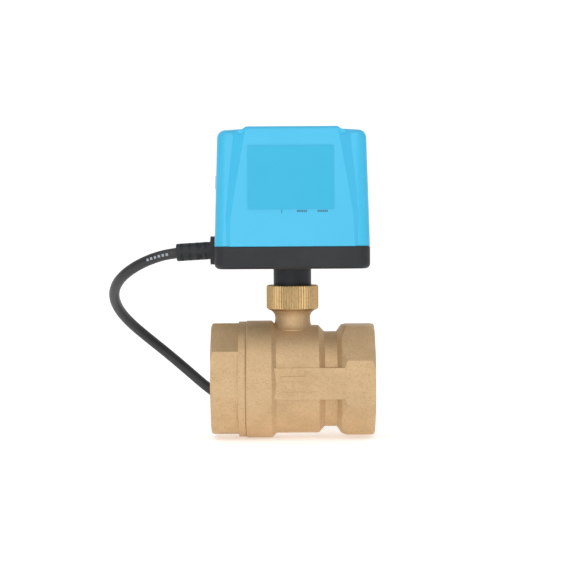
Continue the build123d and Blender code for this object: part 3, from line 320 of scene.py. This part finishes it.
def panel_print():
    """Small plain bars printed on the cover's leaning front."""
    cover_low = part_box("cover")[0]
    verts = []
    faces = []
    for x_low, x_high, z_low, z_high in MARKS:
        base = len(verts)
        for x, z in ((x_low, z_low), (x_high, z_low), (x_high, z_high), (x_low, z_high)):
            y = cover_low.y + (z * MM - cover_low.z) * PANEL_LEAN - PRINT_LIFT
            verts.append((STEM_X + x * MM, y, z * MM))
        faces.append((base, base + 1, base + 2, base + 3))
    return make_piece("panel_print", verts, faces, "label_film", slate_print, smooth=False)


panel_print()

# ---------------------------------------------------------------- lead
# the free run, x from the stem axis, in mm
LEAD_ROUTE = [
    (-50.2, 0.0, 66.75),
    (-62.5, 0.0, 65.9),
    (-74.2, 2.7, 62.7),
    (-84.9, 9.1, 57.3),
    (-92.7, 18.6, 50.7),
    (-96.3, 30.5, 43.1),
    (-95.2, 42.6, 35.1),
    (-89.8, 53.2, 26.7),
    (-81.0, 60.8, 18.1),
    (-70.5, 65.3, 9.0),
    (-59.3, 67.2, -0.9),
    (-47.4, 67.7, -11.5),
    (-35.8, 67.3, -19.6),
    (-23.2, 66.7, -25.0),
    (-10.0, 66.2, -27.3),
    (3.0, 66.0, -27.6),
]
COIL_TURNS = 2.8
COIL_PITCH = 5.7
COIL_START_R = 38.0
COIL_STEPS = 20


def lead_points():
    """Control points of the lead: its free run, then a flat spiral that winds inwards on the floor."""
    points = [Vector((STEM_X + x * MM, y * MM, z * MM)) for x, y, z in LEAD_ROUTE]
    end_x, end_y, end_z = LEAD_ROUTE[-1]
    for step in range(1, int(COIL_TURNS * COIL_STEPS) + 1):
        turn = step / COIL_STEPS
        angle = 2 * math.pi * turn - math.pi / 2
        r = COIL_START_R - COIL_PITCH * turn
        x = end_x + r * math.cos(angle)
        y = end_y + COIL_START_R + r * math.sin(angle)
        points.append(Vector((STEM_X + x * MM, y * MM, end_z * MM)))
    return points


def nurbs_curve(name, points, radius):
    """Open NURBS curve of order 3 that starts and ends on its first and last points."""
    curve = bpy.data.curves.new(name, "CURVE")
    curve.dimensions = "3D"
    spline = curve.splines.new("NURBS")
    spline.points.add(len(points) - 1)
    for spot, point in zip(spline.points, points):
        spot.co = (*point, 1.0)
    spline.order_u = 3
    spline.use_endpoint_u = True
    spline.resolution_u = 8
    curve.bevel_depth = radius
    curve.bevel_resolution = 7
    curve.use_fill_caps = radius > 0
    made = bpy.data.objects.new(name, curve)
    bpy.context.scene.collection.objects.link(made)
    return made


def centre_line(points):
    """Points along the smooth line that a NURBS curve draws."""
    trial = nurbs_curve("centre_line", points, 0.0)
    bpy.context.view_layer.update()
    mesh = bpy.data.meshes.new_from_object(trial.evaluated_get(bpy.context.evaluated_depsgraph_get()))
    line = [vertex.co.copy() for vertex in mesh.vertices]
    bpy.data.objects.remove(trial)
    bpy.data.meshes.remove(mesh)
    return line


lead = nurbs_curve("lead", lead_points(), CABLE_R)
lead.data.materials.append(FINISHES["black_sheath"])
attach(lead, "valve")
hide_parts("cable_lead", "cable_coil")


# plain dashes on the lead: how many, and where they start, how far apart and how long, in mm
DASH_COUNT = 6
DASH_START = 14.0
DASH_STEP = 2.05
DASH_LENGTH = 1.15
# edges of a dash's strips, as angles round the lead
DASH_ANGLES = (-0.24, -0.08, 0.08, 0.24)
DASH_R = 1.02 * CABLE_R


def spot_at(line, lengths, where):
    """Point and direction on a line, at a length along it."""
    after = next(spot for spot, length in enumerate(lengths) if length > where)
    share = (where - lengths[after - 1]) / (lengths[after] - lengths[after - 1])
    return line[after - 1].lerp(line[after], share), (line[after] - line[after - 1]).normalized()


def print_dashes():
    """Plain white dashes printed along the front of the lead's first stretch."""
    line = centre_line(lead_points())
    lengths = [0.0]
    for before, after in zip(line, line[1:]):
        lengths.append(lengths[-1] + (after - before).length)
    verts = []
    faces = []
    around = len(DASH_ANGLES)
    for mark in range(DASH_COUNT):
        start = (DASH_START + DASH_STEP * mark) * MM
        base = len(verts)
        for where in (start, start + DASH_LENGTH * MM):
            centre, along = spot_at(line, lengths, where)
            side = along.cross(Vector((0, 0, 1))).normalized()
            up = side.cross(along)
            for angle in DASH_ANGLES:
                verts.append(centre + DASH_R * (up * math.sin(angle) - side * math.cos(angle)))
        for here in range(base, base + around - 1):
            faces.append((here, here + 1, here + around + 1, here + around))
    return make_piece("lead_print", verts, faces, "black_sheath", white_print)


lead_print = print_dashes()

# the tie: a strap round the coil's turns, with its ratchet head on top
TIE_ANGLE = math.radians(40)
TIE_HALF_WIDTH = 2.0 * MM
STRAP = 0.7 * MM


def coil_frame():
    """Centre of the coil on the floor, and the directions out to the tie and along the turns there."""
    end_x, end_y, end_z = LEAD_ROUTE[-1]
    centre = Vector((STEM_X + end_x * MM, (end_y + COIL_START_R) * MM, FLOOR_Z))
    outward = Vector((math.cos(TIE_ANGLE), math.sin(TIE_ANGLE), 0))
    return centre, outward, Vector((-outward.y, outward.x, 0))


def tie_strap():
    """Closed strap that hugs the turns' outer sides."""
    centre, outward, along = coil_frame()
    spin = (TIE_ANGLE + math.pi / 2) / (2 * math.pi)
    outer = (COIL_START_R - COIL_PITCH * spin) * MM
    inner = (COIL_START_R - COIL_PITCH * (spin + 2)) * MM
    outline = []
    for step in range(13):
        angle = math.radians(90 - 15 * step)
        outline.append((outer, CABLE_R, angle))
    for step in range(13):
        angle = math.radians(-90 - 15 * step)
        outline.append((inner, CABLE_R, angle))
    verts = []
    for r, height, angle in outline:
        for skin, half in ((0.0, -1), (0.0, 1), (STRAP, 1), (STRAP, -1)):
            reach = CABLE_R + skin
            z = max(0.0, height + reach * math.sin(angle))
            spot = centre + outward * (r + reach * math.cos(angle)) + along * half * TIE_HALF_WIDTH
            verts.append(spot + Vector((0, 0, z)))
    faces = []
    count = len(outline)
    for ring in range(count):
        for side in range(4):
            here = 4 * ring + side
            beside = 4 * ring + (side + 1) % 4
            ahead = 4 * ((ring + 1) % count)
            faces.append((here, beside, ahead + (side + 1) % 4, ahead + side))
    return make_piece("tie_strap", verts, faces, "tie_nylon", smooth=False)


def bevelled_block(name, centre, axes, halves, bevel, slot):
    """Block with softened edges, its axes and half sizes given."""
    corners = [(a, b, c) for a in (-1, 1) for b in (-1, 1) for c in (-1, 1)]
    verts = [
        centre + sum((axis * half * sign for axis, half, sign in zip(axes, halves, signs)), Vector())
        for signs in corners
    ]
    faces = [(0, 1, 3, 2), (4, 6, 7, 5), (0, 4, 5, 1), (2, 3, 7, 6), (0, 2, 6, 4), (1, 5, 7, 3)]
    made = make_piece(name, verts, faces, slot)
    soft = made.modifiers.new("bevel", "BEVEL")
    soft.width = bevel
    soft.segments = 3
    made.modifiers.new("weights", "WEIGHTED_NORMAL")
    return made


strap = tie_strap()
coil_centre, tie_outward, tie_along = coil_frame()
TIE_HEAD_R = 28.5 * MM
TIE_HEAD_Z = 2 * CABLE_R + 1.7 * MM
TIE_HEAD_HALVES = (3.0 * MM, 2.9 * MM, 1.6 * MM)
tie_head = bevelled_block(
    "tie_head",
    coil_centre + tie_outward * TIE_HEAD_R + Vector((0, 0, TIE_HEAD_Z)),
    (tie_outward, tie_along, Vector((0, 0, 1))),
    TIE_HEAD_HALVES,
    0.5 * MM,
    "tie_nylon",
)
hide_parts("cable_tie")

# ---------------------------------------------------------------- floor, light and camera
# the floor's reach to the front and to each side, then its sweep, in metres
FLOOR_FRONT = 3.0
FLOOR_SIDE = 4.0
SWEEP_START = 1.2
SWEEP_R = 1.2
SWEEP_TOP = 4.0
SWEEP_STEPS = 12
FLOOR_GLOW = 0.42


def studio_floor():
    """Pale floor that sweeps up behind the part."""
    rows = [(-FLOOR_FRONT, 0.0), (SWEEP_START, 0.0)]
    for step in range(1, SWEEP_STEPS + 1):
        angle = math.radians(90 / SWEEP_STEPS * step)
        rows.append((SWEEP_START + SWEEP_R * math.sin(angle), SWEEP_R * (1 - math.cos(angle))))
    rows.append((SWEEP_START + SWEEP_R, SWEEP_TOP))
    verts = []
    for y, z in rows:
        verts += [(-FLOOR_SIDE, y, FLOOR_Z + z), (FLOOR_SIDE, y, FLOOR_Z + z)]
    faces = [(2 * row, 2 * row + 1, 2 * row + 3, 2 * row + 2) for row in range(len(rows) - 1)]
    mesh = bpy.data.meshes.new("floor")
    mesh.from_pydata(verts, [], faces)
    mesh.shade_smooth()
    white = finish("floor_white", (0.93, 0.93, 0.93), 0.8, other=(0.92, 0.92, 0.92))
    shader = white.node_tree.nodes["Principled BSDF"]
    shader.inputs["Emission Color"].default_value = (1, 1, 1, 1)
    shader.inputs["Emission Strength"].default_value = FLOOR_GLOW
    mesh.materials.append(white)
    made = bpy.data.objects.new("floor", mesh)
    bpy.context.scene.collection.objects.link(made)


def area_light(name, place, aim, size, power, colour=(1, 1, 1)):
    """Soft rectangular light."""
    light = bpy.data.lights.new(name, "AREA")
    light.shape = "RECTANGLE"
    light.size, light.size_y = size
    light.energy = power
    light.color = colour
    made = bpy.data.objects.new(name, light)
    made.location = place
    made.rotation_euler = (Vector(aim) - Vector(place)).to_track_quat("-Z", "Y").to_euler()
    bpy.context.scene.collection.objects.link(made)


studio_floor()
middle = (STEM_X, 0.0, 0.05)
area_light("front_light", (-0.25, -1.5, 0.40), middle, (1.0, 0.8), 4.2)
area_light("right_light", (1.3, -0.5, 0.30), middle, (0.7, 0.9), 0.8)
area_light("top_light", (-0.10, -0.95, 1.25), middle, (2.0, 1.2), 9.5)


def studio_world():
    """Surroundings that are pale at eye level and dim overhead."""
    world = bpy.data.worlds.new("studio")
    world.use_nodes = True
    tree = world.node_tree
    place = add_node(tree, "TexCoord").outputs["Generated"]
    height = add_node(tree, "SeparateXYZ", {"Vector": place}).outputs["Z"]
    strength = band(tree, height, 0.10, 0.75, 0.33, 0.50)
    tree.links.new(strength, tree.nodes["Background"].inputs["Strength"])
    tree.nodes["Background"].inputs["Color"].default_value = (1, 1, 1, 1)
    bpy.context.scene.world = world


studio_world()

CAMERA_DISTANCE = 0.900
CAMERA_HEIGHT = 0.087
CAMERA_SIDE = STEM_X - 2.3 * MM
AIM_HEIGHT = 47.3 * MM
VIEW_WIDTH = 0.2995
CAMERA_ROLL = math.radians(-0.35)
camera_place = Vector((CAMERA_SIDE, -CAMERA_DISTANCE, CAMERA_HEIGHT))
aim = Vector((CAMERA_SIDE, 0.0, AIM_HEIGHT)) - camera_place
camera_data = bpy.data.cameras.new("camera")
camera_data.sensor_width = 36
camera_data.lens = 36 * aim.length / VIEW_WIDTH
camera_data.clip_start = 0.01
camera = bpy.data.objects.new("camera", camera_data)
camera.location = camera_place
camera.rotation_mode = "QUATERNION"
camera.rotation_quaternion = aim.to_track_quat("-Z", "Y") @ Quaternion((0, 0, 1), CAMERA_ROLL)
bpy.context.scene.collection.objects.link(camera)
bpy.context.scene.camera = camera
bpy.context.scene.view_settings.view_transform = "Standard"
